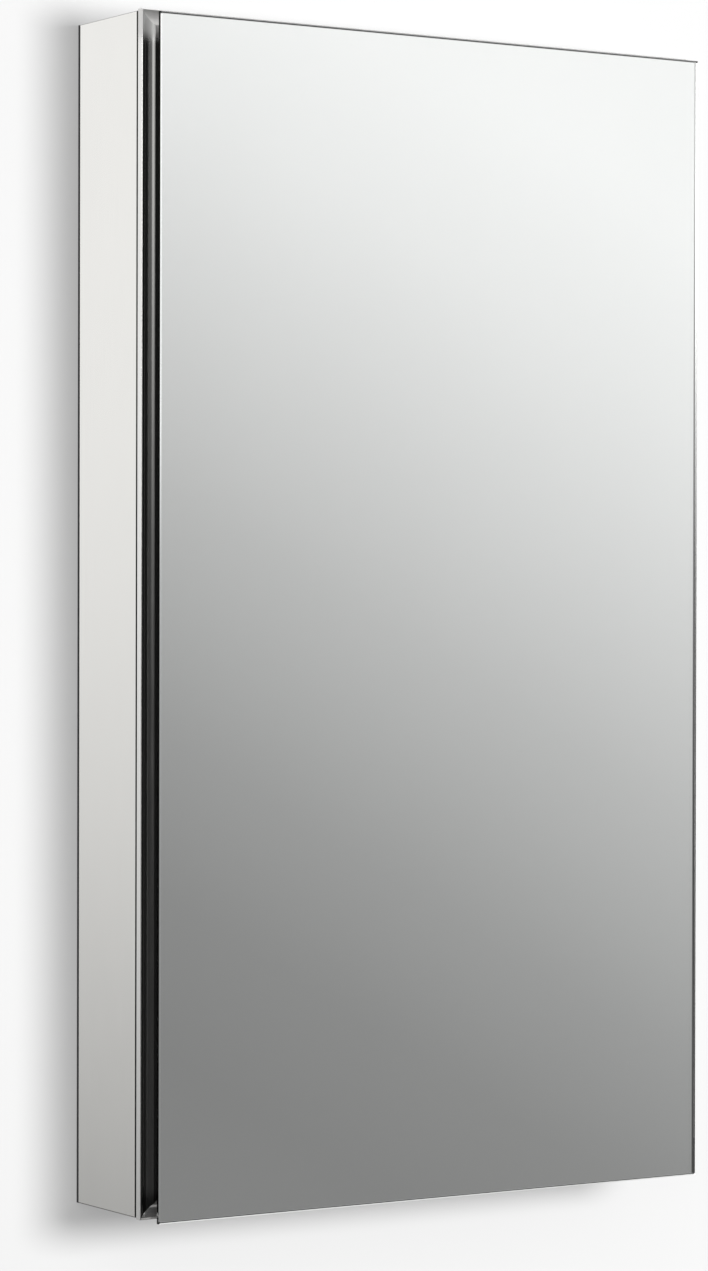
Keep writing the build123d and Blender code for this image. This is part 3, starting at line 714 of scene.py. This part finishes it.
def stage_finish(name, glow, clear_from_behind):
    material, shader = new_material(name)
    shader.inputs["Base Color"].default_value = (*STAGE_TONE, 1)
    shader.inputs["Roughness"].default_value = 0.9
    shader.inputs["Specular IOR Level"].default_value = 0.0
    shader.inputs["Emission Color"].default_value = (1, 1, 1, 1)
    shader.inputs["Emission Strength"].default_value = glow
    if clear_from_behind:
        side = add(material, "ShaderNodeNewGeometry")
        clear = add(material, "ShaderNodeBsdfTransparent")
        choice = add(material, "ShaderNodeMixShader")
        join(material, side.outputs["Backfacing"], choice.inputs[0])
        join(material, shader.outputs[0], choice.inputs[1])
        join(material, clear.outputs[0], choice.inputs[2])
        join(material, choice.outputs[0], material.node_tree.nodes["Material Output"].inputs["Surface"])
    return material


wall_gap = 0.4 * MM
stage_plane("stage_wall", (0, wall_gap, floor_height + stage_reach), (math.radians(90), 0, 0),
            stage_finish("stage_wall_paint", WALL_GLOW, True))
stage_plane("stage_floor", (0, 0, floor_height), (0, 0, 0),
            stage_finish("stage_floor_paint", FLOOR_GLOW, False))
print("wall at", wall_gap, "m and floor at", floor_height, "m")

# %% [markdown]
# ## The light
#
# A mirror shows the room, so the room is drawn as a smooth world, in zones round the compass. What the
# mirror sees is the zone to the front right: a light upper half, a dim lower half, and a gentle climb
# to the right. On the left stands a softbox, above a dark flag that keeps the lower half of the pull
# dark: the pull shows the two as one soft streak that fades downwards. The wall side is what the satin
# side panel sees, dark just behind the cabinet. The camera itself sees a plain pale world.

# %% World zones
world = bpy.data.worlds.new("studio")
scene.world = world
world.use_nodes = True
tree = world.node_tree
tree.nodes.clear()
RAMP_REACH = 1.0


def world_node(kind, inputs=(), **settings):
    node = tree.nodes.new(kind)
    for key, value in settings.items():
        setattr(node, key, value)
    for key, value in dict(inputs).items():
        node.inputs[key].default_value = value
    return node


def zone(height, stops):
    """A zone's brightness over the height looked at. stops are (height, grey), lowest first."""
    spread = world_node("ShaderNodeMapRange", {"From Min": -RAMP_REACH, "From Max": RAMP_REACH})
    tree.links.new(height, spread.inputs["Value"])
    ramp = world_node("ShaderNodeValToRGB")
    ramp.color_ramp.interpolation = "LINEAR"
    while len(ramp.color_ramp.elements) < len(stops):
        ramp.color_ramp.elements.new(0.5)
    for element, (value, grey) in zip(ramp.color_ramp.elements, stops):
        element.position = (value + RAMP_REACH) / (2 * RAMP_REACH)
        element.color = (grey, grey, grey, 1)
    tree.links.new(spread.outputs["Result"], ramp.inputs["Fac"])
    return ramp.outputs["Color"]


def maths(operation, first, second=None):
    node = world_node("ShaderNodeMath", operation=operation)
    for slot, source in enumerate((first, second)):
        if isinstance(source, bpy.types.NodeSocket):
            tree.links.new(source, node.inputs[slot])
        elif source is not None:
            node.inputs[slot].default_value = source
    return node.outputs[0]


def blend_zones(angle, first, second, start, end):
    """The first zone until the compass angle start, the second from end on, in degrees."""
    step = world_node("ShaderNodeMapRange", {"From Min": math.radians(start), "From Max": math.radians(end)},
                      interpolation_type="SMOOTHSTEP")
    tree.links.new(angle, step.inputs["Value"])
    mix = world_node("ShaderNodeMix", data_type="RGBA")
    tree.links.new(step.outputs["Result"], mix.inputs[0])
    tree.links.new(first, mix.inputs[6])
    tree.links.new(second, mix.inputs[7])
    return mix.outputs[2]


looked_at = world_node("ShaderNodeSeparateXYZ")
tree.links.new(world_node("ShaderNodeTexCoord").outputs["Generated"], looked_at.inputs["Vector"])
height = looked_at.outputs["Z"]
compass = maths("ARCTAN2", looked_at.outputs["X"], maths("MULTIPLY", looked_at.outputs["Y"], -1.0))
mirror_compass = math.radians(32.5)
mirror_half_width = math.radians(9)
climb_to_the_right = 0.62
from_mirror_view = world_node("ShaderNodeClamp", {"Min": -mirror_half_width, "Max": mirror_half_width})
tree.links.new(maths("SUBTRACT", compass, mirror_compass), from_mirror_view.inputs["Value"])
tilted_height = maths("ADD", height, maths("MULTIPLY", from_mirror_view.outputs[0], climb_to_the_right))

mirror_zone = zone(tilted_height, [
    (-0.30, 0.22), (-0.14, 0.24), (-0.10, 0.273), (-0.06, 0.348), (0.00, 0.518), (0.06, 0.727), (0.10, 0.865),
    (0.145, 0.975), (0.30, 1.02), (0.50, 0.80), (0.80, 0.20),
])
right_zone = zone(height, [
    (-0.20, 0.27), (-0.12, 0.28), (-0.07, 0.31), (-0.03, 0.39), (0.01, 0.56), (0.045, 1.05), (0.30, 1.15),
])
softbox = zone(height, [
    (-0.40, 0.12), (-0.22, 0.07), (-0.15, 0.035), (-0.07, 0.035), (-0.03, 0.06), (0.01, 0.17), (0.05, 1.25),
    (0.085, 3.0), (0.13, 3.8), (0.50, 2.4),
])
beside_softbox = zone(height, [
    (-0.40, 0.20), (-0.22, 0.12), (-0.15, 0.05), (-0.04, 0.07), (0.02, 0.18), (0.10, 0.60), (0.40, 0.90),
])
panel_zone = zone(height, [
    (-0.40, 0.10), (-0.20, 0.28), (-0.146, 0.41), (-0.098, 0.575), (-0.048, 0.735), (0.0, 0.855),
    (0.04, 0.93), (0.10, 0.95), (0.50, 0.99),
])
behind = zone(height, [(-0.3, 0.05), (0.3, 0.16)])
round_the_compass = [
    (panel_zone, -172, -160), (beside_softbox, -95, -72), (softbox, -66, -48), (beside_softbox, -36, -20),
    (mirror_zone, 4, 22), (right_zone, 46, 52), (behind, 150, 165),
]
around = behind
for next_zone, start, end in round_the_compass:
    around = blend_zones(compass, around, next_zone, start, end)
print("world zones joined, world has", len(tree.nodes), "nodes")

# %% [markdown]
# ## The world's output
#
# The camera's own rays see a plain pale tone, and every other ray sees the zones.

# %% World output
CAMERA_WORLD = (0.945, 0.945, 0.945)
camera_sees = world_node("ShaderNodeMix", data_type="RGBA")
tree.links.new(world_node("ShaderNodeLightPath").outputs["Is Camera Ray"], camera_sees.inputs[0])
tree.links.new(around, camera_sees.inputs[6])
camera_sees.inputs[7].default_value = (*CAMERA_WORLD, 1)
background = world_node("ShaderNodeBackground")
tree.links.new(camera_sees.outputs[2], background.inputs["Color"])
tree.links.new(background.outputs[0], world_node("ShaderNodeOutputWorld").inputs["Surface"])
print("camera sees", CAMERA_WORLD)

# %% [markdown]
# ## The key light
#
# A large soft light stands a little to the right of the cabinet and a little above its middle. It is as
# wide as the shadow should be soft: the shadow starts dark at the cabinet's left side and is gone
# within 60 mm. It is linked to the wall alone, because the world already lights the cabinet.

# %% Key light
key_azimuth = math.radians(10.5)
key_height = math.radians(3.5)
key_distance = 3.2
key_width = 1.5
key_tall = 0.9
key_power = 280.0

key_data = bpy.data.lights.new("key", "AREA")
key_data.shape = "ELLIPSE"
key_data.size = key_width
key_data.size_y = key_tall
key_data.energy = key_power
key = bpy.data.objects.new("key", key_data)
scene.collection.objects.link(key)
towards_key = Vector((
    math.sin(key_azimuth) * math.cos(key_height),
    -math.cos(key_azimuth) * math.cos(key_height),
    math.sin(key_height),
))
key.location = towards_key * key_distance
key.rotation_euler = (-towards_key).to_track_quat("-Z", "Y").to_euler()
key.visible_glossy = False
key.visible_transmission = False
key.visible_camera = False
wall_only = bpy.data.collections.new("lit_by_key")
wall_only.objects.link(bpy.data.objects["stage_wall"])
key.light_linking.receiver_collection = wall_only
print("key light at", [round(place, 2) for place in key.location])

# %% [markdown]
# ## The end

# The visual model has to stay the size of the CAD model.

# %% The end
print("the end")
